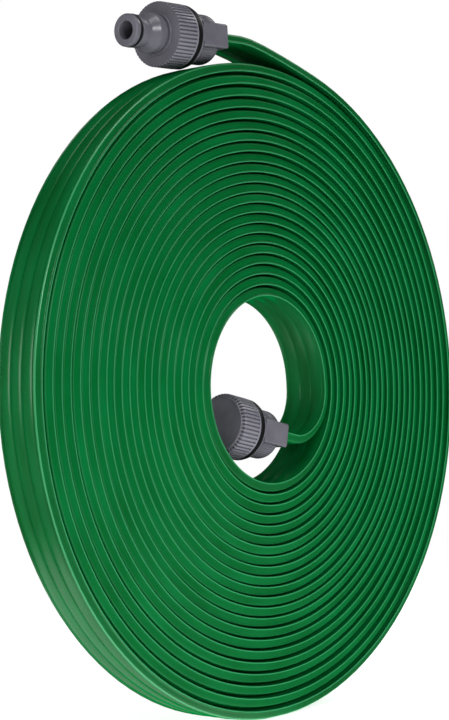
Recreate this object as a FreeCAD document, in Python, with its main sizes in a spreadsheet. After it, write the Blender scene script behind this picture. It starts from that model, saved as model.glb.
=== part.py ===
import FreeCAD, Part
import Sketcher
import os
from math import atan2, cos, hypot, pi, radians, sin, sqrt, tan

Vector = FreeCAD.Vector
Rotation = FreeCAD.Rotation
Placement = FreeCAD.Placement

# A flat three-channel soaker hose wound in one upright spiral, with a fitting at each end.
# Frame: +X right and +Z up as seen from the front, the front edge of the strip faces -Y,
# and the origin lies under the middle of the whole, level with the small flat that it stands on.
# Angles round the coil start at twelve o'clock and run clockwise as seen from the front.

# Driving dimensions, in millimetres and degrees
SIZES = [
    ("strip_width", 26.5),
    ("strip_thick", 4.6),
    ("shoulder_inset", 1.25),
    ("shoulder_rise", 3.5),
    ("rim_width", 2.6),
    ("lobe_crest", 3.4),
    ("lobe_groove", 0.7),
    ("base_groove", 0.35),
    ("lip_lift", 0.25),
    ("lip_thick", 0.9),
    ("channel_dia", 3),
    ("channel_depth", 12),
    ("coil_loops", 22),
    ("turn_gap", 0.5636),
    ("coil_skew", 2.3),
    ("coil_crowding", 3.4),
    ("eye_clear", 2.02),
    ("start_angle", 14),
    ("finish_angle", 87),
    ("stand_flat", 0.5),
    ("inlet_mouth_left", 29.8),
    ("inlet_clear", 0.5),
    ("inlet_tilt", 2.7),
    ("inlet_run", 6),
    ("end_mouth_right", 10.2),
    ("end_mouth_drop", 25.5),
    ("end_tilt", 11),
    ("end_run", 5),
    ("end_gap", 0.3),
    ("side_wall", 1.55),
    ("face_wall", 3.5),
    ("block_round", 1.2),
    ("block_length", 18.9),
    ("barrel_inset", 0.7),
    ("barrel_length", 15),
    ("passage_gap", 0.3),
    ("passage_depth", 16),
    ("flange_inset", 0.7),
    ("flange_thick", 1.6),
    ("seal_inset", 0.1),
    ("seal_thick", 3.2),
    ("seal_gap", 0.1),
    ("boss_length", 9.5),
    ("thread_gap", 0.3),
    ("insert_margin", 0.5),
    ("insert_gap", 0.2),
    ("insert_wall", 1.1),
    ("insert_floor", 2.2),
    ("insert_rim_inset", 1.6),
    ("insert_rim_thick", 1.6),
    ("spigot_gap", 0.06),
    ("spigot_bore_dia", 1.6),
    ("spigot_length", 10),
    ("gasket_inset", 0.4),
    ("gasket_bore_radius", 6),
    ("gasket_thick", 2),
    ("cap_radius", 16),
    ("skirt_wall", 2.7),
    ("cap_chamfer", 0.5),
    ("cap_plate", 3.9),
    ("end_plate", 4.3),
    ("end_chamfer", 2),
    ("end_recess_rim", 0.15),
    ("end_recess", 0.5),
    ("inlet_flutes", 52),
    ("end_flutes", 50),
    ("flute_width", 0.85),
    ("flute_depth", 0.6),
    ("notch_depth", 1.7),
    ("knurl_lip", 1.1),
    ("nipple_bore_radius", 4.45),
    ("nipple_bore_round", 0.5),
    ("nipple_tip_radius", 8),
    ("nipple_tip_round", 1),
    ("nipple_tip_length", 2.4),
    ("ring_groove_width", 2.2),
    ("ring_groove_depth", 1.9),
    ("ring_gap", 0.05),
    ("collar_length", 3.7),
    ("collar_round", 0.5),
    ("neck_radius", 7),
    ("neck_length", 3.1),
    ("bulb_cone_length", 3.9),
    ("bulb_radius", 9.9),
    ("bulb_length", 4.2),
    ("bulb_round", 1.4),
    ("waist_depth", 0.9),
    ("waist_length", 1.2),
    ("foot_lip", 0.7),
    ("foot_length", 1.2),
    ("foot_round", 0.4),
]

# Sizes that follow from the ones above
DERIVED = [
    ("lobe_pitch", "(strip_width - 2 * rim_width) / 3"),
    ("coil_half_span", "(strip_thick + turn_gap) * coil_loops / 2"),
    ("block_width", "strip_width + 2 * passage_gap + 2 * side_wall"),
    ("block_thick", "strip_thick + 2 * passage_gap + 2 * face_wall"),
    ("boss_radius", "cap_radius - skirt_wall - thread_gap"),
    ("barrel_radius", "boss_radius - barrel_inset"),
    ("flange_radius", "cap_radius - flange_inset"),
    ("seal_radius", "cap_radius - seal_inset"),
    ("insert_radius", "lobe_pitch + channel_dia / 2 + insert_margin"),
    ("insert_rim_radius", "boss_radius - insert_rim_inset"),
    ("gasket_radius", "boss_radius - gasket_inset"),
    ("end_recess_radius", "cap_radius - end_chamfer - end_recess_rim"),
    ("ring_groove_radius", "nipple_tip_radius - ring_groove_depth"),
    ("waist_radius", "bulb_radius - waist_depth"),
    ("foot_radius", "bulb_radius + foot_lip"),
]

doc = FreeCAD.newDocument("SoakerHose")
sheet = doc.addObject("Spreadsheet::Sheet", "Sizes")
rows = [(name, str(number)) for name, number in SIZES]
rows += [(name, "=" + formula) for name, formula in DERIVED]
for row, (name, content) in enumerate(rows, 1):
    sheet.set("A%d" % row, name)
    sheet.set("B%d" % row, content)
    sheet.setAlias("B%d" % row, name)
doc.recompute()


# The number behind a sum of sizes, such as "cap_radius - cap_chamfer"
def number_of(text):
    total = 0.0
    sign = 1
    for word in text.split():
        if word == "+":
            sign = 1
        elif word == "-":
            sign = -1
        else:
            total += sign * float(sheet.get(word))
    return total


# The same sum as a formula of the sheet
def formula_of(text):
    words = [word if word in "+-" else "Sizes." + word for word in text.split()]
    return " ".join(words)


def plane_of(body, role):
    return [item for item in body.Origin.OriginFeatures if item.Role == role][0]


# Ties one sketch point to two sums of sizes: how far it stands from the axis, and how far along it
def tie_point(sketch, line, end, across, along):
    for kind, text, axis in (("DistanceX", across, -2), ("DistanceY", along, -1)):
        if not text:
            sketch.addConstraint(Sketcher.Constraint("PointOnObject", line, end, axis))
            continue
        place = Sketcher.Constraint(kind, -1, 1, line, end, number_of(text))
        index = sketch.addConstraint(place)
        sketch.setExpression("Constraints[%d]" % index, formula_of(text))


# A turned piece: a closed outline of (radius, distance from the mouth) corners, revolved
def turned_body(name, corners):
    body = doc.addObject("PartDesign::Body", name)
    sketch = body.newObject("Sketcher::SketchObject", name + "_outline")
    sketch.AttachmentSupport = [(plane_of(body, "XZ_Plane"), "")]
    sketch.MapMode = "FlatFace"
    places = [Vector(number_of(across), number_of(along), 0) for across, along in corners]
    count = len(corners)
    for index in range(count):
        sketch.addGeometry(Part.LineSegment(places[index], places[(index + 1) % count]), False)
    for index in range(count):
        sketch.addConstraint(Sketcher.Constraint("Coincident", index, 2, (index + 1) % count, 1))
    for index, (across, along) in enumerate(corners):
        tie_point(sketch, index, 1, across, along)
    spin = body.newObject("PartDesign::Revolution", name + "_spin")
    spin.Profile = sketch
    spin.ReferenceAxis = (sketch, ["V_Axis"])
    spin.Angle = 360
    doc.recompute()
    return body


# Flutes round a cap: one square-bottomed pocket, repeated about the axis
def add_knurl(body, label, count, depth, start, length):
    sketch = body.newObject("Sketcher::SketchObject", label + "_outline")
    sketch.AttachmentSupport = [(plane_of(body, "XY_Plane"), "")]
    sketch.MapMode = "FlatFace"
    sketch.setExpression("AttachmentOffset.Base.z", formula_of(start))
    floor = number_of("cap_radius - " + depth)
    rim = number_of("cap_radius + " + depth)
    half = number_of("flute_width") / 2
    spots = [Vector(floor, -half, 0), Vector(rim, -half, 0), Vector(rim, half, 0),
             Vector(floor, half, 0)]
    for index in range(4):
        sketch.addGeometry(Part.LineSegment(spots[index], spots[(index + 1) % 4]), False)
    for index in range(4):
        sketch.addConstraint(Sketcher.Constraint("Coincident", index, 2, (index + 1) % 4, 1))
    for index, way in enumerate(("Horizontal", "Vertical", "Horizontal")):
        sketch.addConstraint(Sketcher.Constraint(way, index))
    sketch.addConstraint(Sketcher.Constraint("Symmetric", 0, 1, 3, 1, -1))
    for kind, first, second, size, text in (
            ("DistanceY", (0, 1), (3, 1), 2 * half, "flute_width"),
            ("DistanceX", (-1, 1), (0, 1), floor, "cap_radius - " + depth),
            ("DistanceX", (-1, 1), (0, 2), rim, "cap_radius + " + depth)):
        size_rule = Sketcher.Constraint(kind, first[0], first[1], second[0], second[1], size)
        index = sketch.addConstraint(size_rule)
        sketch.setExpression("Constraints[%d]" % index, formula_of(text))
    flute = body.newObject("PartDesign::Pocket", label)
    flute.Profile = sketch
    flute.Type = 0
    flute.Reversed = True
    flute.setExpression("Length", formula_of(length))
    before = body.Shape.Volume
    doc.recompute()
    if flute.Shape.Volume > before - 0.1:
        raise RuntimeError(label + " cuts nothing")
    pattern = body.newObject("PartDesign::PolarPattern", label + "_pattern")
    pattern.Originals = [flute]
    pattern.Axis = (plane_of(body, "Z_Axis"), [""])
    pattern.Angle = 360
    pattern.setExpression("Occurrences", formula_of(count))
    body.Tip = pattern
    doc.recompute()


def cylinder(name, radius, start, length, across="", diameter=False):
    solid = doc.addObject("Part::Cylinder", name)
    half = " / 2" if diameter else ""
    solid.setExpression("Radius", "(" + formula_of(radius) + ")" + half)
    solid.setExpression("Height", formula_of(length))
    if start:
        solid.setExpression("Placement.Base.z", formula_of(start))
    if across:
        solid.setExpression("Placement.Base.x", across)
    return solid


def centred_box(name, width, thick, start, length):
    solid = doc.addObject("Part::Box", name)
    solid.setExpression("Length", formula_of(width))
    solid.setExpression("Width", formula_of(thick))
    solid.setExpression("Height", formula_of(length))
    solid.setExpression("Placement.Base.x", "-(" + formula_of(width) + ") / 2")
    solid.setExpression("Placement.Base.y", "-(" + formula_of(thick) + ") / 2")
    if start:
        solid.setExpression("Placement.Base.z", formula_of(start))
    return solid


def fused(name, solids):
    joined = doc.addObject("Part::MultiFuse", name)
    joined.Shapes = solids
    return joined


def cut(name, solid, tool):
    rest = doc.addObject("Part::Cut", name)
    rest.Base = solid
    rest.Tool = tool
    return rest


# Distances along a fitting, from the mouth that the strip enters towards the cap
FLANGE_FRONT = "block_length + flange_thick"
BOSS_END = FLANGE_FRONT + " + boss_length"
RIM_END = BOSS_END + " + insert_rim_thick"
GASKET_END = RIM_END + " + gasket_thick"
SKIRT_START = FLANGE_FRONT + " + seal_thick + seal_gap"
CAP_FACE = GASKET_END + " + cap_plate"
END_FACE = GASKET_END + " + end_plate"
KNURL_START = SKIRT_START + " + knurl_lip"
SKIRT_LENGTH = "boss_length + insert_rim_thick + gasket_thick - seal_thick - seal_gap"


# Housing: a flat block through a round barrel, a thin flange and a round threaded boss
def make_housing(name):
    block = centred_box(name + "_block", "block_width", "block_thick", "", "block_length")
    doc.recompute()
    soft_block = doc.addObject("Part::Fillet", name + "_soft_block")
    soft_block.Base = block
    rounding = number_of("block_round")
    soft_edges = []
    for index, edge in enumerate(block.Shape.Edges, 1):
        if edge.BoundBox.ZMin < number_of("block_length") - 0.01:
            soft_edges.append((index, rounding, rounding))
    soft_block.Edges = soft_edges
    barrel = cylinder(name + "_barrel", "barrel_radius", "block_length - barrel_length",
                      "barrel_length")
    flange = cylinder(name + "_flange", "flange_radius", "block_length", "flange_thick")
    boss = cylinder(name + "_boss", "boss_radius", FLANGE_FRONT, "boss_length")
    outside = fused(name + "_outside", [soft_block, barrel, flange, boss])
    passage = centred_box(name + "_passage", "strip_width + passage_gap + passage_gap",
                          "strip_thick + passage_gap + passage_gap", "", "passage_depth")
    bore = cylinder(name + "_bore", "insert_radius + insert_gap", "passage_depth",
                    BOSS_END + " - passage_depth")
    return cut(name, outside, fused(name + "_inside", [passage, bore]))


# Insert: a rimmed cup whose floor carries a hollow spigot for each channel of the strip
def make_insert(name):
    start = "passage_depth + passage_gap"
    cup = cylinder(name + "_cup", "insert_radius", start, BOSS_END + " - " + start.replace("+", "-"))
    rim = cylinder(name + "_rim", "insert_rim_radius", BOSS_END, "insert_rim_thick")
    tip = start + " - spigot_length"
    outer = [cup, rim]
    inner = [cylinder(name + "_hollow", "insert_radius - insert_wall", start + " + insert_floor",
                      RIM_END + " - " + start.replace("+", "-") + " - insert_floor")]
    for index in (-1, 0, 1):
        across = "%d * Sizes.lobe_pitch" % index
        label = "%s_spigot_%d" % (name, index + 2)
        outer.append(cylinder(label, "channel_dia - spigot_gap - spigot_gap", tip, "spigot_length",
                              across, True))
        inner.append(cylinder(label + "_bore", "spigot_bore_dia", tip,
                              "spigot_length + insert_floor", across, True))
    return cut(name, fused(name + "_outer", outer), fused(name + "_inner", inner))


def make_ring(name, inner, outer, start, end):
    return turned_body(name, [(inner, start), (outer, start), (outer, end), (inner, end)])


# Inlet cap: a knurled skirt, a front plate and the male nipple, in one piece
def make_inlet_cap(name):
    foot_end = CAP_FACE + " + foot_length"
    bulb_start = foot_end + " + waist_length"
    bulb_end = bulb_start + " + bulb_length"
    neck_start = bulb_end + " + bulb_cone_length"
    collar_start = neck_start + " + neck_length"
    groove_start = collar_start + " + collar_length"
    groove_end = groove_start + " + ring_groove_width"
    tip_end = groove_end + " + nipple_tip_length"
    skirt_bore = "boss_radius + thread_gap"
    body = turned_body(name, [
        (skirt_bore, SKIRT_START),
        ("cap_radius", SKIRT_START),
        ("cap_radius", CAP_FACE + " - cap_chamfer"),
        ("cap_radius - cap_chamfer", CAP_FACE),
        ("foot_radius", CAP_FACE),
        ("foot_radius", foot_end),
        ("waist_radius", foot_end),
        ("waist_radius", bulb_start),
        ("bulb_radius", bulb_start),
        ("bulb_radius", bulb_end),
        ("neck_radius", neck_start),
        ("neck_radius", collar_start),
        ("nipple_tip_radius", collar_start),
        ("nipple_tip_radius", groove_start),
        ("ring_groove_radius", groove_start),
        ("ring_groove_radius", groove_end),
        ("nipple_tip_radius", groove_end),
        ("nipple_tip_radius", tip_end),
        ("nipple_bore_radius", tip_end),
        ("nipple_bore_radius", GASKET_END),
        (skirt_bore, GASKET_END),
    ])
    round_edges(body, "foot_round", [("foot_radius", foot_end), ("bulb_radius", bulb_start)])
    round_edges(body, "bulb_round", [("bulb_radius", bulb_end), ("neck_radius", neck_start)])
    round_edges(body, "collar_round", [("nipple_tip_radius", collar_start),
                                       ("nipple_tip_radius", groove_start)])
    round_edges(body, "nipple_tip_round", [("nipple_tip_radius", tip_end)])
    round_edges(body, "nipple_bore_round", [("nipple_bore_radius", tip_end)])
    add_knurl(body, name + "_flute", "inlet_flutes", "flute_depth", KNURL_START,
              SKIRT_LENGTH + " + cap_plate - knurl_lip")
    return body, groove_start


# End cap: the same skirt, closed by a recessed plate with notches round its chamfer
def make_end_cap(name):
    skirt_bore = "boss_radius + thread_gap"
    body = turned_body(name, [
        (skirt_bore, SKIRT_START),
        ("cap_radius", SKIRT_START),
        ("cap_radius", END_FACE + " - end_chamfer"),
        ("cap_radius - end_chamfer", END_FACE),
        ("end_recess_radius", END_FACE),
        ("end_recess_radius", END_FACE + " - end_recess"),
        ("", END_FACE + " - end_recess"),
        ("", GASKET_END),
        (skirt_bore, GASKET_END),
    ])
    add_knurl(body, name + "_flute", "end_flutes", "flute_depth", KNURL_START,
              SKIRT_LENGTH + " + end_plate - end_chamfer - knurl_lip")
    add_knurl(body, name + "_notch", "end_flutes", "notch_depth", END_FACE + " - end_chamfer",
              "end_chamfer")
    return body


# O-ring in the nipple's groove, as wide as the groove leaves room for
def make_o_ring(name, groove_start):
    ring = doc.addObject("Part::Torus", name)
    wire_radius = "(Sizes.ring_groove_width / 2 - 2 * Sizes.ring_gap)"
    ring.setExpression("Radius2", wire_radius)
    ring.setExpression("Radius1", "Sizes.ring_groove_radius + Sizes.ring_gap + " + wire_radius)
    return ring


# Rounds the circular edges of a turned piece that stand at the given radius and distance
def round_edges(body, radius, corners):
    base = body.Tip
    chosen = []
    for across, along in corners:
        for index, edge in enumerate(base.Shape.Edges, 1):
            if not hasattr(edge.Curve, "Radius"):
                continue
            off_radius = abs(edge.Curve.Radius - number_of(across))
            off_place = abs(edge.Curve.Center.z - number_of(along))
            if off_radius < 0.01 and off_place < 0.01:
                chosen.append("Edge%d" % index)
    soft = body.newObject("PartDesign::Fillet", body.Name + "_" + radius)
    soft.Base = (base, chosen)
    soft.setExpression("Radius", formula_of(radius))
    doc.recompute()
    if len(chosen) != len(corners) or not soft.Shape.isValid():
        raise RuntimeError(body.Name + ": not every edge took its rounding")


# Lip radius at the coil's last loop: the end fitting's lower corner clears it inside
def eye_radius():
    tilt = radians(number_of("end_tilt"))
    reach = number_of(END_FACE + " - end_chamfer")
    cap = number_of("cap_radius")
    across = number_of("end_mouth_right") - reach * cos(tilt) - cap * sin(tilt)
    drop = number_of("end_mouth_drop") - reach * sin(tilt) + cap * cos(tilt)
    return hypot(across, drop) + number_of("eye_clear")


# Inner-lip radius of the coil at a number of turns from twelve o'clock
def lip_radius(turns):
    half_loops = number_of("coil_loops") / 2
    along = (turns - half_loops) / half_loops
    return (EYE_RADIUS + number_of("coil_half_span") * (1 - along)
            - number_of("coil_skew") * (1 - along ** 2)
            + number_of("coil_crowding") * (1 - along ** 3))


def coil_point(turns, lift):
    radius = lip_radius(turns) + lift
    angle = 2 * pi * turns
    return Vector(radius * sin(angle), 0, radius * cos(angle))


def coil_tangent(turns):
    step = 1e-4
    lift = number_of("strip_thick") / 2
    return (coil_point(turns + step, lift) - coil_point(turns - step, lift)).normalize()


# Height of the inlet's mouth: the ring and the cap clear the first loop, which passes below
def inlet_rise():
    tilt = radians(number_of("inlet_tilt"))
    highest = 0
    for reach, radius in ((FLANGE_FRONT, "seal_radius"), (SKIRT_START, "cap_radius"),
                          (CAP_FACE + " - cap_chamfer", "cap_radius")):
        along = number_of(reach)
        below = number_of(radius)
        across = below * sin(tilt) - along * cos(tilt) - number_of("inlet_mouth_left")
        height = lip_radius(1)
        for _ in range(5):
            turns = 1 + atan2(across, height) / (2 * pi)
            clear = lip_radius(turns) + number_of("strip_thick + inlet_clear")
            height = sqrt(clear ** 2 - across ** 2)
        highest = max(highest, height + along * sin(tilt) + below * cos(tilt))
    return highest


# Arc from one point, leaving along a tangent, to another point
def tangent_arc(start, tangent, finish):
    chord = finish - start
    reach = chord.Length
    chord.normalize()
    side = tangent - chord * tangent.dot(chord)
    turn = atan2(side.Length, tangent.dot(chord))
    side.normalize()
    middle = (start + finish) * 0.5 + side * (reach / 2 * tan(turn / 2))
    return Part.Arc(start, middle, finish).toShape()


# Two arcs that join two points and keep both tangents
def biarc(start, leaving, finish, arriving):
    across = finish - start
    both = leaving + arriving
    spread = 2 * (1 - leaving.dot(arriving))
    reach = (sqrt(across.dot(both) ** 2 + spread * across.dot(across)) - across.dot(both)) / spread
    joint = (start + finish + (leaving - arriving) * reach) * 0.5
    half = joint - start - leaving * reach
    half.normalize()
    return [tangent_arc(start, leaving, joint), tangent_arc(joint, half, finish)]


# A straight, an arc and a straight that join two tangent lines, the arc as wide as both allow
def blend(start, leaving, finish, arriving):
    across = finish - start
    cross = leaving.x * arriving.z - leaving.z * arriving.x
    first = (across.x * arriving.z - across.z * arriving.x) / cross
    second = (leaving.x * across.z - leaving.z * across.x) / cross
    reach = min(first, second)
    arc_start = start + leaving * (first - reach)
    arc_finish = finish - arriving * (second - reach)
    edges = [tangent_arc(arc_start, leaving, arc_finish)]
    if first > reach:
        edges.insert(0, Part.LineSegment(start, arc_start).toShape())
    if second > reach:
        edges.append(Part.LineSegment(arc_finish, finish).toShape())
    return edges


# The line that the middle of the strip follows, from inside the inlet to inside the end fitting
def strip_path(inlet_mouth, inlet_out, end_mouth, end_out):
    inside = number_of("passage_depth") - number_of("end_gap")
    lift = number_of("strip_thick") / 2
    first_turn = number_of("start_angle") / 360
    last_turn = number_of("coil_loops") + number_of("finish_angle") / 360
    steps = round(2 * (last_turn - first_turn))
    turns = [first_turn + (last_turn - first_turn) * index / steps for index in range(steps + 1)]
    inlet_free = inlet_mouth + inlet_out * number_of("inlet_run")
    end_free = end_mouth + end_out * number_of("end_run")
    edges = [Part.LineSegment(inlet_mouth - inlet_out * inside, inlet_free).toShape()]
    edges += blend(inlet_free, inlet_out, coil_point(first_turn, lift), coil_tangent(first_turn))
    for before, after in zip(turns, turns[1:]):
        edges += biarc(coil_point(before, lift), coil_tangent(before),
                       coil_point(after, lift), coil_tangent(after))
    edges += blend(coil_point(last_turn, lift), coil_tangent(last_turn), end_free, end_out * -1)
    edges.append(Part.LineSegment(end_free, end_mouth - end_out * inside).toShape())
    return Part.Wire(edges)


# Cross-section of the strip: thin lips at its two edges, three lobes outside and three inside
def strip_section(place, outward):
    half = number_of("strip_width") / 2
    shoulder = half - number_of("shoulder_inset")
    thick = number_of("strip_thick")
    rise = number_of("shoulder_rise")
    lobe = number_of("lobe_pitch")
    crest = number_of("lobe_crest") / 2
    lift = number_of("lip_lift")
    valley = thick - number_of("lobe_groove")
    dent = lift + number_of("base_groove")

    def corner(across, height):
        return place + Vector(0, across, 0) + outward * (height - thick / 2)

    # One side from the edge to the middle, as (distance from the middle line, height)
    outer_side = [(half, 0), (half, number_of("lip_thick")), (shoulder, rise),
                  (lobe + crest, thick), (lobe - crest, thick), (lobe / 2, valley), (crest, thick)]
    inner_side = [(lobe + crest, lift), (lobe - crest, lift), (lobe / 2, dent), (crest, lift)]
    right = outer_side + [(-across, height) for across, height in reversed(outer_side)]
    left = [(-across, height) for across, height in inner_side] + inner_side[::-1]
    corners = [corner(across, height) for across, height in right + left]
    outline = Part.makePolygon(corners + corners[:1])
    return outline


# The three water channels of one end of the strip, as deep as the spigots need
def end_channels(name, place):
    tools = []
    for index in (-1, 0, 1):
        label = "%s_channel_%d" % (name, index + 2)
        tools.append(cylinder(label, "channel_dia", "passage_depth - channel_depth",
                              "channel_depth", "%d * Sizes.lobe_pitch" % index, True))
    joined = fused(name + "_channels", tools)
    joined.Placement = place
    return joined


# The strip: its section carried along the whole path, flat where it stands
def make_strip(path, outline, place):
    sweep = Part.BRepOffsetAPI.MakePipeShell(path)
    sweep.add(outline, False, False)
    sweep.build()
    sweep.makeSolid()
    wound = doc.addObject("Part::Feature", "wound_strip")
    wound.Shape = sweep.shape()
    floor = doc.addObject("Part::Box", "floor_block")
    floor.setExpression("Length", "4 * Sizes.strip_width")
    floor.setExpression("Width", "2 * Sizes.strip_width")
    floor.setExpression("Height", "4 * Sizes.stand_flat")
    floor.setExpression("Placement.Base.x", "-2 * Sizes.strip_width")
    floor.setExpression("Placement.Base.y", "-Sizes.strip_width")
    floor.setExpression("Placement.Base.z", "-4 * Sizes.stand_flat")
    away = [floor] + [end_channels(name, spot) for name, spot in place]
    return cut("hose_strip", wound, fused("strip_cuts", away))


# Least distance between the strip and itself one turn further in, measured on points
def least_gap(path):
    points = path.discretize(Distance=0.8)
    thick = number_of("strip_thick")
    room = number_of("strip_width")
    least = room
    for index, point in enumerate(points):
        for other in points[index + 60:index + 1500]:
            apart = hypot(point.x - other.x, point.z - other.z)
            if apart < least:
                least = apart
    return least - thick


EYE_RADIUS = eye_radius()
inlet_mouth = Vector(-number_of("inlet_mouth_left"), 0, inlet_rise())
inlet_out = Vector(cos(radians(number_of("inlet_tilt"))), 0, sin(radians(number_of("inlet_tilt"))))
end_mouth = Vector(number_of("end_mouth_right"), 0, -number_of("end_mouth_drop"))
end_out = Vector(cos(radians(number_of("end_tilt"))), 0, -sin(radians(number_of("end_tilt"))))
path = strip_path(inlet_mouth, inlet_out, end_mouth, end_out)

# The coil stands on the lowest spot of its outermost turn, and is centred from side to side
outline = [coil_point(turn / 2000, number_of("strip_thick")) for turn in range(200, 2200)]
across_middle = (min(spot.x for spot in outline) + max(spot.x for spot in outline)) / 2
stand_height = -min(spot.z for spot in outline) - number_of("stand_flat")
shift = Vector(-across_middle, 0, stand_height)
path.translate(shift)
strip_start = inlet_mouth - inlet_out * (number_of("passage_depth") - number_of("end_gap")) + shift
section = strip_section(strip_start, Vector(-inlet_out.z, 0, inlet_out.x))


# A fitting's own frame: origin in its mouth, Z towards the cap, X across the strip's width
def place_at(mouth, out):
    to_cap = out * -1
    width_way = Vector(0, -1, 0)
    return Placement(mouth + shift, Rotation(width_way, to_cap.cross(width_way), to_cap, "ZXY"))


inlet_place = place_at(inlet_mouth, inlet_out)
end_place = place_at(end_mouth, end_out)
hose = make_strip(path, section, [("inlet", inlet_place), ("end", end_place)])
doc.recompute()
if hose.Shape.Volume > hose.Base.Shape.Volume - 100:
    raise RuntimeError("hose_strip: the cuts take nothing away")
print("hose: length %.1f, gap between turns %.3f, volume %.0f, faces %d" % (
    path.Length, least_gap(path), hose.Shape.Volume, len(hose.Shape.Faces)))
print("coil centre %.3f %.3f, inlet mouth %.3f %.3f, end mouth %.3f %.3f" % (
    shift.x, shift.z, inlet_mouth.x + shift.x, inlet_mouth.z + shift.z,
    end_mouth.x + shift.x, end_mouth.z + shift.z))
pieces = [("hose_strip", hose, None)]
for side, place in (("inlet", inlet_place), ("end", end_place)):
    pieces.append((side + "_housing", make_housing(side + "_housing"), place))
    pieces.append((side + "_insert", make_insert(side + "_insert"), place))
    seal = make_ring(side + "_seal_ring", "boss_radius + ring_gap", "seal_radius",
                     FLANGE_FRONT, FLANGE_FRONT + " + seal_thick")
    pieces.append((side + "_seal_ring", seal, place))
    gasket = make_ring(side + "_gasket", "gasket_bore_radius", "gasket_radius",
                       RIM_END, GASKET_END)
    pieces.append((side + "_gasket", gasket, place))
nipple_cap, groove_start = make_inlet_cap("inlet_nipple_cap")
pieces.append(("inlet_nipple_cap", nipple_cap, inlet_place))
o_ring = make_o_ring("nipple_o_ring", groove_start)
ring_middle = number_of(groove_start) + number_of("ring_groove_width") / 2
ring_place = inlet_place.multiply(Placement(Vector(0, 0, ring_middle), Rotation()))
pieces.append(("nipple_o_ring", o_ring, ring_place))
pieces.append(("end_cap", make_end_cap("end_cap"), end_place))

doc.recompute()
for name, piece, place in pieces:
    piece.Label = name
    if place is not None:
        piece.Placement = place
doc.recompute()

for item in doc.Objects:
    if "Invalid" in item.State or "Error" in item.State:
        raise RuntimeError(item.Name + " did not recompute: " + str(item.State))
os.makedirs("parts", exist_ok=True)
for name, piece, place in pieces:
    shape = piece.Shape
    if shape.isNull() or not shape.isValid() or len(shape.Solids) != 1:
        raise RuntimeError(name + " is not one valid solid")
    box = shape.BoundBox
    print("%-17s volume %9.0f  x %7.2f %7.2f  y %6.2f %6.2f  z %7.2f %7.2f" % (
        name, shape.Volume, box.XMin, box.XMax, box.YMin, box.YMax, box.ZMin, box.ZMax))
    shape.exportStep("parts/" + name + ".step")
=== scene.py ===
from math import cos, pi, radians, sin

import bpy
import numpy as np
from mathutils import Matrix, Vector


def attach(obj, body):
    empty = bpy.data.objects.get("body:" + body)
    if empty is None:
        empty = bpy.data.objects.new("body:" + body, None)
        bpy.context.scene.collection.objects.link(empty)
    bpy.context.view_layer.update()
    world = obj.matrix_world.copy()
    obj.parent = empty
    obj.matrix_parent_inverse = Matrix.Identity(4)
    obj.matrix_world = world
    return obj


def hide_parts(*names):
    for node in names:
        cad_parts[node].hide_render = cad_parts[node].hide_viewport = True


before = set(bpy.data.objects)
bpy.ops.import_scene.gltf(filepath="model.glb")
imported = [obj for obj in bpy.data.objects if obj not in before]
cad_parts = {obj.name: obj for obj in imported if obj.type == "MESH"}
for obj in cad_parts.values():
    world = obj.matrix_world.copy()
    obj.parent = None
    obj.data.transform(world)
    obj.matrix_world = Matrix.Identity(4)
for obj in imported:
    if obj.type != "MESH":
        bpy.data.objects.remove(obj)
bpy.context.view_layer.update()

MM = 0.001

# Where the parts stand, in millimetres in the row frame
COIL_X = -1.602
COIL_Z = 167.673
INLET_MOUTH = (-31.402, 342.746)
INLET_TILT = radians(2.7)
END_MOUTH = (8.598, 142.173)
END_TILT = radians(11)

# The barrel behind a fitting's block, and the ridged sleeve round it, from the block on
BARREL_START = 3.9
BARREL_LENGTH = 15
BARREL_RADIUS = 12.3
RIDGES = 60
RIDGE_STEPS = 6
RIDGE_HALF = 0.12
SLEEVE_START = 0.2
SLEEVE_FULL = 0.7
SLEEVE_STAND = 0.3
SLEEVE_SUNK = 0.5

# The strip's cross-section. LOBE_SWELL is the share of the room between two turns that the
# lobes of each take up, whole as far as the first of LOBE_ENDS from the middle and none
# from the second on
STRIP_WIDTH = 26.18
STRIP_THICK = 4.6
LOBE_PITCH = 7.1
LOBE_GROOVE = 1.15
LOBE_STEPS = 10
LOBE_ENDS = (8.2, 10.2)
LOBE_SWELL = 0.5
BASE_LIFT = 0.25
BASE_GROOVE = 0.4
LIP_THICK = 0.7
WALL_INSET = 0.85
SHOULDER = 4.45

# The coil: turns are counted inwards from twelve o'clock, angles in degrees. LIP_CURVE is
# the radius of the inner lips as a cubic of the place, from -1 outermost to 1 innermost
COIL_LOOPS = 22
LIP_CURVE = (104.3, -56.8, 2.3, -3.4)
START_ANGLE = 14
FINISH_ANGLE = 87
POINTS_PER_TURN = 40
SPLINE_STEPS = 3
FADE_TURNS = 0.15
SWAY = 0.35
SWAY_RISE = 3
SWAY_WAVES = ((2.3, 0), (5.1, 1.7), (11.9, 0.6))

# The line's ends: how far it reaches into a fitting, how far it runs straight out of each,
# and its points between a fitting and the coil, from the coil's centre
PASSAGE_REACH = 15.7
INLET_RUN = 6
END_RUN = 5
LEAD_IN = (-7.3, 176.1)
LEAD_OUT = ((47.3, -7.8), (42.9, -17.9), (34.8, -25.0), (24.6, -28.4))

# Height of the line that the hose comes with, over the inner lips
LINE_LIFT = 0.9


# Inner-lip radius of the coil at a number of turns from twelve o'clock
def lip_radius(turns):
    along = (turns - COIL_LOOPS / 2) / (COIL_LOOPS / 2)
    return sum(part * along ** power for power, part in enumerate(LIP_CURVE))


def coil_point(turns, stretch):
    radius = (lip_radius(turns) + STRIP_THICK / 2) * stretch
    angle = 2 * pi * turns
    return (COIL_X + radius * sin(angle), COIL_Z + radius * cos(angle))


# A point of a fitting's frame: how far out of its mouth, sideways and up from its axis
def inlet_point(out, side=0, up=0):
    return (INLET_MOUTH[0] + out * cos(INLET_TILT) - up * sin(INLET_TILT), side,
            INLET_MOUTH[1] + out * sin(INLET_TILT) + up * cos(INLET_TILT))


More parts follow.
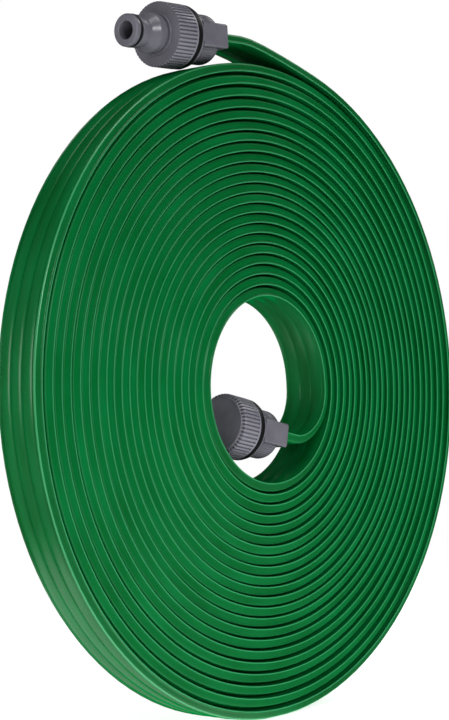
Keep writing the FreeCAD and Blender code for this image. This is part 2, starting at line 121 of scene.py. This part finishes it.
def end_point(out, side=0, up=0):
    return (END_MOUTH[0] + out * cos(END_TILT) + up * sin(END_TILT), side,
            END_MOUTH[1] - out * sin(END_TILT) + up * cos(END_TILT))


# Slow sideways drift of the turns, none near the two ends
def sway(turns):
    free = min(1, SWAY_RISE * turns, SWAY_RISE * max(0, COIL_LOOPS - turns))
    drift = sum(sin(rate * turns + start) for rate, start in SWAY_WAVES)
    return SWAY * free * drift / 2


# Room between the inner lips of a turn and the lobes of the next one inside it, none beside
# the coil's two ends
def room_inside(turns):
    room = lip_radius(turns) - lip_radius(turns + 1) - STRIP_THICK
    first = START_ANGLE / 360
    last = COIL_LOOPS + FINISH_ANGLE / 360 - 1
    opening = np.interp(turns, (first, first + FADE_TURNS), (0, 1))
    return room * opening * np.interp(turns, (last - FADE_TURNS, last), (1, 0))


# Control points of the strip's middle line, from inside the inlet to inside the end fitting.
# On a round the spline runs inside its points, by cos(step) midway between two and by
# 0.75 + 0.25 cos(2 step) beside one, so the coil's points are set out by the mean of both
def route_points():
    step = pi / POINTS_PER_TURN
    inward = (cos(step) + 0.75 + 0.25 * cos(2 * step)) / 2
    first = START_ANGLE / 360
    last = COIL_LOOPS + FINISH_ANGLE / 360
    count = round((last - first) * POINTS_PER_TURN)
    points = [inlet_point(-PASSAGE_REACH), inlet_point(INLET_RUN),
              (COIL_X + LEAD_IN[0], 0, COIL_Z + LEAD_IN[1])]
    for index in range(count + 1):
        turns = first + (last - first) * index / count
        across, rise = coil_point(turns, 1 / inward)
        points.append((across, sway(turns), rise))
    for across, rise in LEAD_OUT:
        points.append((COIL_X + across, 0, COIL_Z + rise))
    return points + [end_point(END_RUN), end_point(-PASSAGE_REACH)]


# How many turns each point of the line stands from twelve o'clock, counted along the coil
def turns_along(line):
    angle = np.arctan2(line[:, 0] / MM - COIL_X, line[:, 2] / MM - COIL_Z)
    return np.unwrap(angle) / (2 * pi)


# A smooth spline through the route, read back as close points
def smooth_line(points):
    curve = bpy.data.curves.new("route", "CURVE")
    curve.dimensions = "3D"
    curve.resolution_u = SPLINE_STEPS
    spline = curve.splines.new("NURBS")
    spline.points.add(len(points) - 1)
    for spot, (x, y, z) in zip(spline.points, points):
        spot.co = (x * MM, y * MM, z * MM, 1)
    spline.order_u = 3
    spline.use_endpoint_u = True
    holder = bpy.data.objects.new("route", curve)
    mesh = bpy.data.meshes.new_from_object(holder)
    line = np.array([vertex.co[:] for vertex in mesh.vertices])
    bpy.data.objects.remove(holder)
    bpy.data.curves.remove(curve)
    bpy.data.meshes.remove(mesh)
    return line


# The strip's cross-section as (across, height over the inner lips), once round: three lobes
# on the outer face, a rounded shoulder, a side wall and a thin lip, and the flatter inner face
def strip_section():
    half = STRIP_WIDTH / 2
    edge = 1.5 * LOBE_PITCH
    valley = STRIP_THICK - LOBE_GROOVE
    dent = BASE_LIFT + BASE_GROOVE
    wall = half - WALL_INSET
    lobe = -np.cos(np.linspace(0, pi, LOBE_STEPS + 1))
    arch = np.sin(np.linspace(0, pi, LOBE_STEPS + 1))
    row = [(LOBE_PITCH * (place + along / 2), crest) for place in (-1, 0, 1)
           for along, crest in list(zip(lobe, arch))[place > -1:]]
    spots = [(across, valley + (STRIP_THICK - valley) * crest) for across, crest in row]
    side = [
        (edge + 0.2, SHOULDER - 0.07),
        (wall - 1.2, SHOULDER),
        (wall - 0.8, SHOULDER - 0.14),
        (wall - 0.45, SHOULDER - 0.45),
        (wall - 0.2, SHOULDER - 0.9),
        (wall - 0.06, 3.0),
        (wall, 2.2),
        (wall + 0.03, 1.2),
        (wall + 0.2, LIP_THICK + 0.08),
        (half - 0.3, LIP_THICK),
        (half - 0.08, LIP_THICK * 0.8),
        (half, LIP_THICK * 0.5),
        (half - 0.06, 0.14),
        (half - 0.3, 0.0),
        (half - 0.7, 0.05),
    ]
    spots += side
    spots += [(across, dent - (dent - BASE_LIFT) * crest) for across, crest in row[::-1]]
    spots += [(-across, height) for across, height in side[::-1]]
    return np.array(spots)


def new_object(name, verts, faces, material):
    mesh = bpy.data.meshes.new(name)
    mesh.from_pydata([tuple(v) for v in verts], [], [tuple(f) for f in faces])
    mesh.materials.append(material)
    mesh.shade_smooth()
    obj = bpy.data.objects.new(name, mesh)
    bpy.context.scene.collection.objects.link(obj)
    return obj


# Height of each point of the section over the middle of the strip, along the whole line.
# Soft lobes swell into the room on each side, so that a gap of only BASE_LIFT is left
def lobe_heights(section, line):
    middle = np.interp(np.abs(section[:, 0]), LOBE_ENDS, (1, 0))
    top = middle * (section[:, 1] > STRIP_THICK / 2)
    base = middle * (section[:, 1] < STRIP_THICK / 2)
    turns = turns_along(line)
    height = section[None, :, 1] - STRIP_THICK / 2
    height = height + LOBE_SWELL * top[None, :] * room_inside(turns - 1)[:, None]
    return height - LOBE_SWELL * base[None, :] * room_inside(turns)[:, None]


# The hose: the section carried along the line. Its two maps give the place along the length
# in metres and the height as a share of the thickness, each with the share of the width.
# It is cut flat where it stands, and comes with a line over its inner lips and its length
def make_hose(material):
    line = smooth_line(route_points())
    steps = np.linalg.norm(np.diff(line, axis=0), axis=1)
    run = np.concatenate([[0], np.cumsum(steps)])
    tangent = np.gradient(line, run, axis=0)
    tangent /= np.linalg.norm(tangent, axis=1)[:, None]
    outward = np.stack([-tangent[:, 2], np.zeros(len(line)), tangent[:, 0]], axis=1)
    outward /= np.linalg.norm(outward, axis=1)[:, None]
    section = strip_section()
    count, around = len(line), len(section)
    height = lobe_heights(section, line)
    verts = np.zeros((count, around, 3))
    verts += line[:, None, :]
    verts[:, :, 1] += section[None, :, 0] * MM
    verts += outward[:, None, :] * (height * MM)[:, :, None]
    verts[:, :, 2] = np.maximum(verts[:, :, 2], 0)
    faces = []
    for index in range(count - 1):
        near = index * around
        far = near + around
        for side in range(around):
            after = (side + 1) % around
            faces.append((near + side, near + after, far + after, far + side))
    faces.append(tuple(range(around - 1, -1, -1)))
    faces.append(tuple((count - 1) * around + side for side in range(around)))
    hose = new_object("hose", verts.reshape(-1, 3), faces, material)
    loops = np.zeros(len(hose.data.loops), dtype=np.int64)
    hose.data.loops.foreach_get("vertex_index", loops)
    across = section[loops % around, 0] / STRIP_WIDTH + 0.5
    height = section[loops % around, 1] / STRIP_THICK
    for name, first in (("place", run[loops // around]), ("profile", height)):
        layer = hose.data.uv_layers.new(name=name)
        layer.data.foreach_set("uv", np.stack([first, across], axis=1).ravel())
    rings = line + outward * (LINE_LIFT - STRIP_THICK / 2) * MM
    return hose, rings, run[-1]


# Fine ridges round a housing's barrel, as a thin sleeve. The profile is (along the barrel,
# height of the ridges' crests over it), with a chamfer at the block and both rims sunk
def make_sleeve(name, place, material):
    steps = RIDGE_STEPS * RIDGES
    profile = [(SLEEVE_START, -SLEEVE_SUNK), (SLEEVE_START, RIDGE_HALF), (SLEEVE_FULL, SLEEVE_STAND),
               (BARREL_LENGTH, SLEEVE_STAND), (BARREL_LENGTH, -SLEEVE_SUNK)]
    verts = []
    for along, lift in profile:
        for step in range(steps):
            angle = 2 * pi * step / steps
            ridge = RIDGE_HALF * sin(RIDGES * angle) if lift > 0 else 0
            radius = BARREL_RADIUS + lift - RIDGE_HALF + ridge
            spot = place(-BARREL_START - along, radius * sin(angle), radius * cos(angle))
            verts.append([part * MM for part in spot])
    faces = []
    for ring in range(len(profile) - 1):
        near = ring * steps
        far = near + steps
        for step in range(steps):
            after = (step + 1) % steps
            faces.append((near + step, near + after, far + after, far + step))
    sleeve = new_object(name, verts, faces, material)
    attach(sleeve, "coil")


# Short ways to write shader nodes
class Nodes:
    def __init__(self, tree):
        self.tree = tree

    def add(self, kind, **settings):
        node = self.tree.nodes.new(kind)
        for key, value in settings.items():
            setattr(node, key, value)
        return node

    def join(self, source, target):
        self.tree.links.new(source, target)

    def value(self, operation, first, second=None, third=None, clamp=False):
        node = self.add("ShaderNodeMath", operation=operation, use_clamp=clamp)
        for socket, given in zip(node.inputs, (first, second, third)):
            if given is None:
                continue
            if isinstance(given, (int, float)):
                socket.default_value = given
            else:
                self.join(given, socket)
        return node.outputs[0]

    # A share that grows evenly from 0 at the value none to 1 at the value whole
    def fade(self, value, none, whole):
        rate = 1 / (whole - none)
        return self.value("MULTIPLY_ADD", value, rate, -rate * none, clamp=True)

    # How far a value lies from another
    def off(self, value, other):
        return self.value("ABSOLUTE", self.value("SUBTRACT", value, other))

    def vector(self, operation, first, second=None, result="Vector"):
        node = self.add("ShaderNodeVectorMath", operation=operation)
        self.join(first, node.inputs[0])
        if second is not None:
            node.inputs[1].default_value = second
        return node.outputs[result]

    def split(self, vector):
        node = self.add("ShaderNodeSeparateXYZ")
        self.join(vector, node.inputs[0])
        return node.outputs

    # The kinds of ray as a Light Path node gives them, and those that a mirror or glass sends
    def rays(self):
        path = self.add("ShaderNodeLightPath").outputs
        return path, self.value("MAXIMUM", path["Is Glossy Ray"], path["Is Transmission Ray"])


# The range of noise that a ramp spreads its two colours over, and where the mirror layer is
# none and whole, from a slanted view to a straight one
NOISE_SPAN = (0.3, 0.7)
SLANT = (0.7407, 0.3704)


# A new material with its main shader
class Finish(Nodes):
    def __init__(self, name, color, roughness, sheen):
        self.material = bpy.data.materials.new(name)
        self.material.use_nodes = True
        super().__init__(self.material.node_tree)
        self.shader = self.tree.nodes["Principled BSDF"]
        self.shader.inputs["Base Color"].default_value = (*color, 1)
        self.shader.inputs["Roughness"].default_value = roughness
        self.shader.inputs["Specular IOR Level"].default_value = sheen

    def drive(self, source, name):
        self.join(source, self.shader.inputs[name])

    def noise(self, vector, scale, detail):
        node = self.add("ShaderNodeTexNoise")
        node.inputs["Scale"].default_value = scale
        node.inputs["Detail"].default_value = detail
        self.join(vector, node.inputs["Vector"])
        return node.outputs["Fac"]

    def stretched(self, vector, scales):
        node = self.add("ShaderNodeMapping")
        node.inputs["Scale"].default_value = scales
        self.join(vector, node.inputs["Vector"])
        return node.outputs["Vector"]

    # Noise as a colour between two
    def ramp(self, factor, low_color, high_color):
        node = self.add("ShaderNodeValToRGB")
        colors = (low_color, high_color)
        for element, position, color in zip(node.color_ramp.elements, NOISE_SPAN, colors):
            element.position = position
            element.color = (*color, 1)
        self.join(factor, node.inputs["Fac"])
        return node.outputs["Color"]

    def mix(self, factor, first, second):
        node = self.add("ShaderNodeMix", data_type="RGBA")
        self.join(factor, node.inputs["Factor"])
        self.join(first, node.inputs[6])
        node.inputs[7].default_value = (*second, 1)
        return node.outputs[2]

    # Strength of the mirror layer: a share of front where the surface is seen straight on
    def sheen_by_view(self, front, share):
        facing = self.add("ShaderNodeLayerWeight").outputs["Facing"]
        turned = self.fade(facing, *SLANT)
        level = self.value("MULTIPLY", turned, self.value("MULTIPLY", share, front))
        self.drive(level, "Specular IOR Level")

    def bump(self, height, strength, distance, below=None):
        node = self.add("ShaderNodeBump")
        node.inputs["Strength"].default_value = strength
        node.inputs["Distance"].default_value = distance
        self.join(height, node.inputs["Height"])
        if below is not None:
            self.join(below, node.inputs["Normal"])
        return node.outputs["Normal"]


# The hose. In a pair of limits the first is where a share is none, the second where it is
# whole. Heights are shares of the thickness, edges and the painted shoulder highlight shares of
# the width from its middle, and stretches metres along the length
HOSE_GREEN = (0.0004, 0.11, 0.022)
HOSE_DARK = (0.0003, 0.084, 0.0145)
HOSE_PALE = (0.0008, 0.125, 0.0285)
# Paler green painted on the lips as a highlight line
LIP_HIGHLIGHT_GREEN = (0.024, 0.205, 0.076)
# Paler green painted along the shoulders as a highlight
SHOULDER_HIGHLIGHT_GREEN = (0.06, 0.36, 0.15)
LIP_HEIGHT = (0.1786, 0.1071)
LIP_EDGE = (0.478, 0.4891)
LIP_MATT = 0.8
OUTER_STRETCH = (1.1, 1.05)
INNER_STRETCH = (14.6, 14.7)
INNER_GLOSS = 0.6
COMMON_GLOSS = 0.17
HOSE_SHEEN = 0.4
ROUGH_LEAST = 0.17
ROUGH_SPREAD = 0.14
GROOVE_FLOOR = 0.75
GROOVE_REACH = (0.12, 0.02)
LOBES_EDGE = 0.43
# The painted shoulder highlight: its place and reach across the width, the height above which it
# lies, and its strength on the outermost turn and on the rest
SHOULDER_HIGHLIGHT_PLACE = 0.452
SHOULDER_HIGHLIGHT_REACH = (0.02143, 0.00714)
SHOULDER_HIGHLIGHT_ABOVE = 0.8
SHOULDER_HIGHLIGHT_OUTER = 0.4
SHOULDER_HIGHLIGHT_COMMON = 0.12

# Typical values, which stand on the main shader for a viewer that reads no nodes
TYPICAL_ROUGHNESS = 0.3
TYPICAL_SHEEN = 0.12

# Noise scales along the length and across the width
DRIFT = (20.0, 3.0, 1.0)
STREAKS = (2.5, 90.0, 1.0)
GRAIN = (900.0, 26.0, 1.0)


# Soft PVC: extruded streaks along the length, colour that drifts, and painted highlights that
# make the lips paler and the shoulders paler, most on the outermost turn. It shines most on the
# outermost turn and the last stretch inside, and is matt in the grooves and on the lips
def hose_finish():
    finish = Finish("green_hose_finish", HOSE_GREEN, TYPICAL_ROUGHNESS, TYPICAL_SHEEN)
    place = finish.add("ShaderNodeUVMap", uv_map="place").outputs["UV"]
    profile = finish.split(finish.add("ShaderNodeUVMap", uv_map="profile").outputs["UV"])
    height = profile["X"]
    across = finish.off(profile["Y"], 0.5)
    lip = finish.value("MULTIPLY", finish.fade(height, *LIP_HEIGHT), finish.fade(across, *LIP_EDGE))
    outer_face = finish.value("GREATER_THAN", height, SHOULDER_HIGHLIGHT_ABOVE)
    lobes = finish.value("LESS_THAN", across, LOBES_EDGE)

    run = finish.split(place)["X"]
    outermost = finish.fade(run, *OUTER_STRETCH)
    innermost = finish.fade(run, *INNER_STRETCH)
    ends = finish.value("MAXIMUM", outermost, finish.value("MULTIPLY", innermost, INNER_GLOSS))
    groove = finish.fade(finish.off(height, GROOVE_FLOOR), *GROOVE_REACH)
    groove = finish.value("MULTIPLY", groove, lobes)
    matt = finish.value("MAXIMUM", groove, finish.value("MULTIPLY", lip, LIP_MATT))
    clear = finish.value("SUBTRACT", 1.0, matt)
    gloss = finish.value("MULTIPLY_ADD", ends, 1 - COMMON_GLOSS, COMMON_GLOSS)
    finish.sheen_by_view(HOSE_SHEEN, finish.value("MULTIPLY", gloss, clear))

    drift = finish.noise(finish.stretched(place, DRIFT), scale=1.0, detail=4.0)
    body = finish.ramp(drift, HOSE_DARK, HOSE_PALE)
    # Painted highlight along the shoulders of the outer face, stronger on the outermost turn
    shoulder_highlight = finish.fade(finish.off(across, SHOULDER_HIGHLIGHT_PLACE), *SHOULDER_HIGHLIGHT_REACH)
    shoulder_highlight = finish.value("MULTIPLY", shoulder_highlight, outer_face)
    strength = finish.value("MULTIPLY_ADD", outermost, SHOULDER_HIGHLIGHT_OUTER, SHOULDER_HIGHLIGHT_COMMON)
    highlighted = finish.mix(finish.value("MULTIPLY", shoulder_highlight, strength), body, SHOULDER_HIGHLIGHT_GREEN)
    # Painted highlight: the lips mixed towards a paler green
    finish.drive(finish.mix(lip, highlighted, LIP_HIGHLIGHT_GREEN), "Base Color")

    streaks = finish.noise(finish.stretched(place, STREAKS), scale=1.0, detail=2.0)
    grain = finish.noise(finish.stretched(place, GRAIN), scale=1.0, detail=2.0)
    finish.drive(finish.value("MULTIPLY_ADD", streaks, ROUGH_SPREAD, ROUGH_LEAST), "Roughness")
    lines = finish.bump(streaks, strength=0.1, distance=0.0003)
    finish.drive(finish.bump(grain, strength=0.03, distance=0.0001, below=lines), "Normal")
    return finish.material


# The fittings. A cap's knurls are painted paler as a highlight from the first distance from
# its axis to the second
GREY = (0.115, 0.112, 0.134)
BLACK = (0.008, 0.008, 0.009)
GREY_ROUGHNESS = 0.24
CLOUDINESS = 0.12
GRAIN_SPREAD = 0.12
KNURL_HIGHLIGHT_RADII = (15.35 * MM, 15.75 * MM)
KNURL_HIGHLIGHT_LIFT = 1.5


# Moulded plastic: fine satin grain, faint cloudiness, and on a cap knurls painted paler as a
# highlight. The axis is a point on the cap's axis and its direction
def plastic_finish(name, color, roughness, sheen=0.5, axis=None):
    finish = Finish(name, color, roughness, sheen)
    place = finish.add("ShaderNodeTexCoord").outputs["Object"]
    cloud = finish.noise(place, scale=90.0, detail=4.0)
    dark = tuple((1 - CLOUDINESS) * part for part in color)
    pale = tuple((1 + CLOUDINESS) * part for part in color)
    tone = finish.ramp(cloud, dark, pale)
    if axis:
        point, direction = axis
        swing = finish.vector("CROSS_PRODUCT", finish.vector("SUBTRACT", place, point), direction)
        radius = finish.vector("LENGTH", swing, result="Value")
        # Painted highlight: the knurls' crests paler towards the cap's rim
        knurl_highlight = tuple(KNURL_HIGHLIGHT_LIFT * part for part in color)
        tone = finish.mix(finish.fade(radius, *KNURL_HIGHLIGHT_RADII), tone, knurl_highlight)
    finish.drive(tone, "Base Color")
    grain = finish.noise(place, scale=2600.0, detail=3.0)
    least = roughness - GRAIN_SPREAD / 2
    finish.drive(finish.value("MULTIPLY_ADD", grain, GRAIN_SPREAD, least), "Roughness")
    finish.drive(finish.bump(grain, strength=0.18, distance=0.00012), "Normal")
    return finish.material


# A point on a fitting's axis, in metres, and the axis's direction
def fitting_axis(mouth, rise):
    return (mouth[0] * MM, 0, mouth[1] * MM), (cos(rise), 0, sin(rise))


inlet_axis = fitting_axis(INLET_MOUTH, INLET_TILT)
end_axis = fitting_axis(END_MOUTH, -END_TILT)
green = hose_finish()
grey = plastic_finish("grey_plastic_finish", GREY, GREY_ROUGHNESS)
inlet_grey = plastic_finish("inlet_cap_finish", GREY, GREY_ROUGHNESS, axis=inlet_axis)
end_grey = plastic_finish("end_cap_finish", GREY, GREY_ROUGHNESS, axis=end_axis)
black = plastic_finish("black_rubber_finish", BLACK, roughness=0.4, sheen=0.2)

# The hose stands for its solid
hose, hose_line, hose_length = make_hose(green)
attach(hose, "coil")
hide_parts("hose_strip")

make_sleeve("inlet_ridges", inlet_point, grey)
make_sleeve("end_ridges", end_point, grey)

# Fittings keep their solids, with their own finishes and softened edges, more on the caps
FINISHES = {
    "inlet_housing": grey, "inlet_insert": grey, "inlet_nipple_cap": inlet_grey,
    "end_housing": grey, "end_insert": grey, "end_cap": end_grey,
    "inlet_seal_ring": black, "end_seal_ring": black, "nipple_o_ring": black,
    "inlet_gasket": black, "end_gasket": black,
}
CAPS = ("inlet_nipple_cap", "end_cap")
CAP_EDGE = 0.33
PLAIN_EDGE = 0.25
for name, material in FINISHES.items():
    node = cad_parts[name]
    node.data.materials.clear()
    node.data.materials.append(material)
    weld = node.modifiers.new("weld", "WELD")
    weld.merge_threshold = 0.002 * MM
    soften = node.modifiers.new("soften", "BEVEL")
    soften.width = (CAP_EDGE if name in CAPS else PLAIN_EDGE) * MM
    soften.segments = 3
    soften.limit_method = "ANGLE"
    soften.angle_limit = radians(38)
    soften.harden_normals = True

# Camera at the photograph's place
eye = Vector((COIL_X - 715.6, -583.55, COIL_Z - 5.2)) * MM
ahead = Vector((0.7652, 0.6434, 0.0212)).normalized()
right = Vector((0.6438, -0.7648, -0.0252)).normalized()
turn = Matrix((right, right.cross(ahead), -ahead)).transposed()
camera = bpy.data.objects.new("camera", bpy.data.cameras.new("camera"))
bpy.context.scene.collection.objects.link(camera)
camera.matrix_world = Matrix.Translation(eye) @ turn.to_4x4()
camera.data.sensor_width = 36
camera.data.lens = 89.6
camera.data.clip_start = 0.05
camera.data.clip_end = 50
bpy.context.scene.camera = camera

# The floor: its colour, the glow that a camera or a mirror sees and the one that lights the
# object, and the share of it that a mirror sees outside the pool, which is whole within the
# second distance from its middle
FLOOR_PALE = (0.8, 0.8, 0.8)
FLOOR_GLOW = 0.75
FLOOR_BOUNCE = 2.0
FLOOR_DIM = 0.06
POOL_MIDDLE = (-0.12, 0.04, 0)
POOL = (0.144, 0.084)
FLOOR_DROP = 0.0005
FLOOR_LEFT, FLOOR_RIGHT = -0.9, 0.7
FLOOR_NEAR, FLOOR_FAR = -0.7, 0.4


# Pale floor with the object's shadow, lifted to white where nothing shades it, which also
# lights the object from below. In a mirror it is dim outside a pool round the coil's foot
def stage_finish():
    finish = Finish("stage_finish", FLOOR_PALE, roughness=0.9, sheen=0.0)
    path, mirrored = finish.rays()
    place = finish.add("ShaderNodeTexCoord").outputs["Object"]
    pool = finish.fade(finish.vector("DISTANCE", place, POOL_MIDDLE, "Value"), *POOL)
    unseen = finish.value("SUBTRACT", mirrored, finish.value("MULTIPLY", mirrored, pool))
    kept = finish.value("MULTIPLY_ADD", unseen, FLOOR_DIM - 1, 1.0)
    glow = finish.add("ShaderNodeEmission")
    seen = finish.value("MAXIMUM", path["Is Camera Ray"], mirrored)
    bounce = finish.value("MULTIPLY", path["Is Diffuse Ray"], FLOOR_BOUNCE)
    finish.join(finish.value("MULTIPLY_ADD", seen, FLOOR_GLOW, bounce), glow.inputs["Strength"])
    total = finish.add("ShaderNodeAddShader")
    finish.join(finish.shader.outputs[0], total.inputs[0])
    finish.join(glow.outputs[0], total.inputs[1])
    dimmed = finish.add("ShaderNodeMixShader")
    finish.join(kept, dimmed.inputs[0])
    finish.join(total.outputs[0], dimmed.inputs[2])
    finish.join(dimmed.outputs[0], finish.tree.nodes["Material Output"].inputs["Surface"])
    return finish.material


# The world's strengths: what lights the object, and what a mirror sees of the dark room and
# of the pale backdrop. BEHIND and BESIDE are limits of the cosine between a ray and their
# direction, RISING of the ray's own height
SKY_LIGHT = 0.4
ROOM_GLOSS = 0.03
BACKDROP_GLOSS = 0.35
BEHIND_WAY = (0.765, 0.643, 0)
BEHIND = (0.825, 0.95)
BESIDE_WAY = (-0.765, 0.643, 0)
BESIDE = (0.65, 0.9)
BESIDE_SHARE = 0.3
RISING = (-0.0667, 0.1)


# White to the camera and plain to diffuse light. In a mirror the backdrop behind the object
# is pale over the floor, with a weaker patch to its left, and the rest of the room is dark
def make_world():
    world = bpy.data.worlds.new("world")
    bpy.context.scene.world = world
    world.use_nodes = True
    nodes = Nodes(world.node_tree)
    sky = world.node_tree.nodes["Background"].inputs
    sky["Color"].default_value = (1, 1, 1, 1)
    path, mirrored = nodes.rays()
    way = nodes.add("ShaderNodeTexCoord").outputs["Generated"]
    behind = nodes.fade(nodes.vector("DOT_PRODUCT", way, BEHIND_WAY, "Value"), *BEHIND)
    beside = nodes.fade(nodes.vector("DOT_PRODUCT", way, BESIDE_WAY, "Value"), *BESIDE)
    rising = nodes.fade(nodes.split(way)["Z"], *RISING)
    pale = nodes.value("MAXIMUM", nodes.value("MULTIPLY", behind, rising),
                       nodes.value("MULTIPLY", beside, BESIDE_SHARE))
    room = nodes.value("MULTIPLY_ADD", pale, BACKDROP_GLOSS - ROOM_GLOSS, ROOM_GLOSS)
    plain = nodes.value("MULTIPLY_ADD", mirrored, -SKY_LIGHT, SKY_LIGHT)
    level = nodes.value("MULTIPLY_ADD", mirrored, room, plain)
    nodes.join(nodes.value("MAXIMUM", level, path["Is Camera Ray"]), sky["Strength"])


# Soft lamps aimed at the coil's middle: place and size in metres, power in watts
LAMP_AIM = (0, 0, 0.17)
LAMPS = {
    "key": ((-1.1, -2.58, 1.2), (0.6, 0.9), 24),
    "left": ((-2.8, 0.2, 0.5), (1.0, 1.0), 15),
    "top": ((0.0, -0.9, 2.6), (1.5, 1.3), 19),
    "rim": ((2.3, -0.6, 2.0), (0.9, 0.9), 7),
}


def soft_lamp(name, place, size, power):
    lamp = bpy.data.lights.new(name, "AREA")
    lamp.shape = "RECTANGLE"
    lamp.size, lamp.size_y = size
    lamp.energy = power
    obj = bpy.data.objects.new(name, lamp)
    obj.location = place
    obj.rotation_mode = "QUATERNION"
    obj.rotation_quaternion = (Vector(place) - Vector(LAMP_AIM)).to_track_quat("Z", "Y")
    bpy.context.scene.collection.objects.link(obj)


make_world()
for name, (place, size, power) in LAMPS.items():
    soft_lamp(name, place, size, power)

corners = [(FLOOR_LEFT, FLOOR_NEAR, -FLOOR_DROP), (FLOOR_RIGHT, FLOOR_NEAR, -FLOOR_DROP),
           (FLOOR_RIGHT, FLOOR_FAR, -FLOOR_DROP), (FLOOR_LEFT, FLOOR_FAR, -FLOOR_DROP)]
floor = new_object("floor", corners, [(0, 1, 2, 3)], stage_finish())

bpy.context.scene.view_settings.view_transform = "Standard"
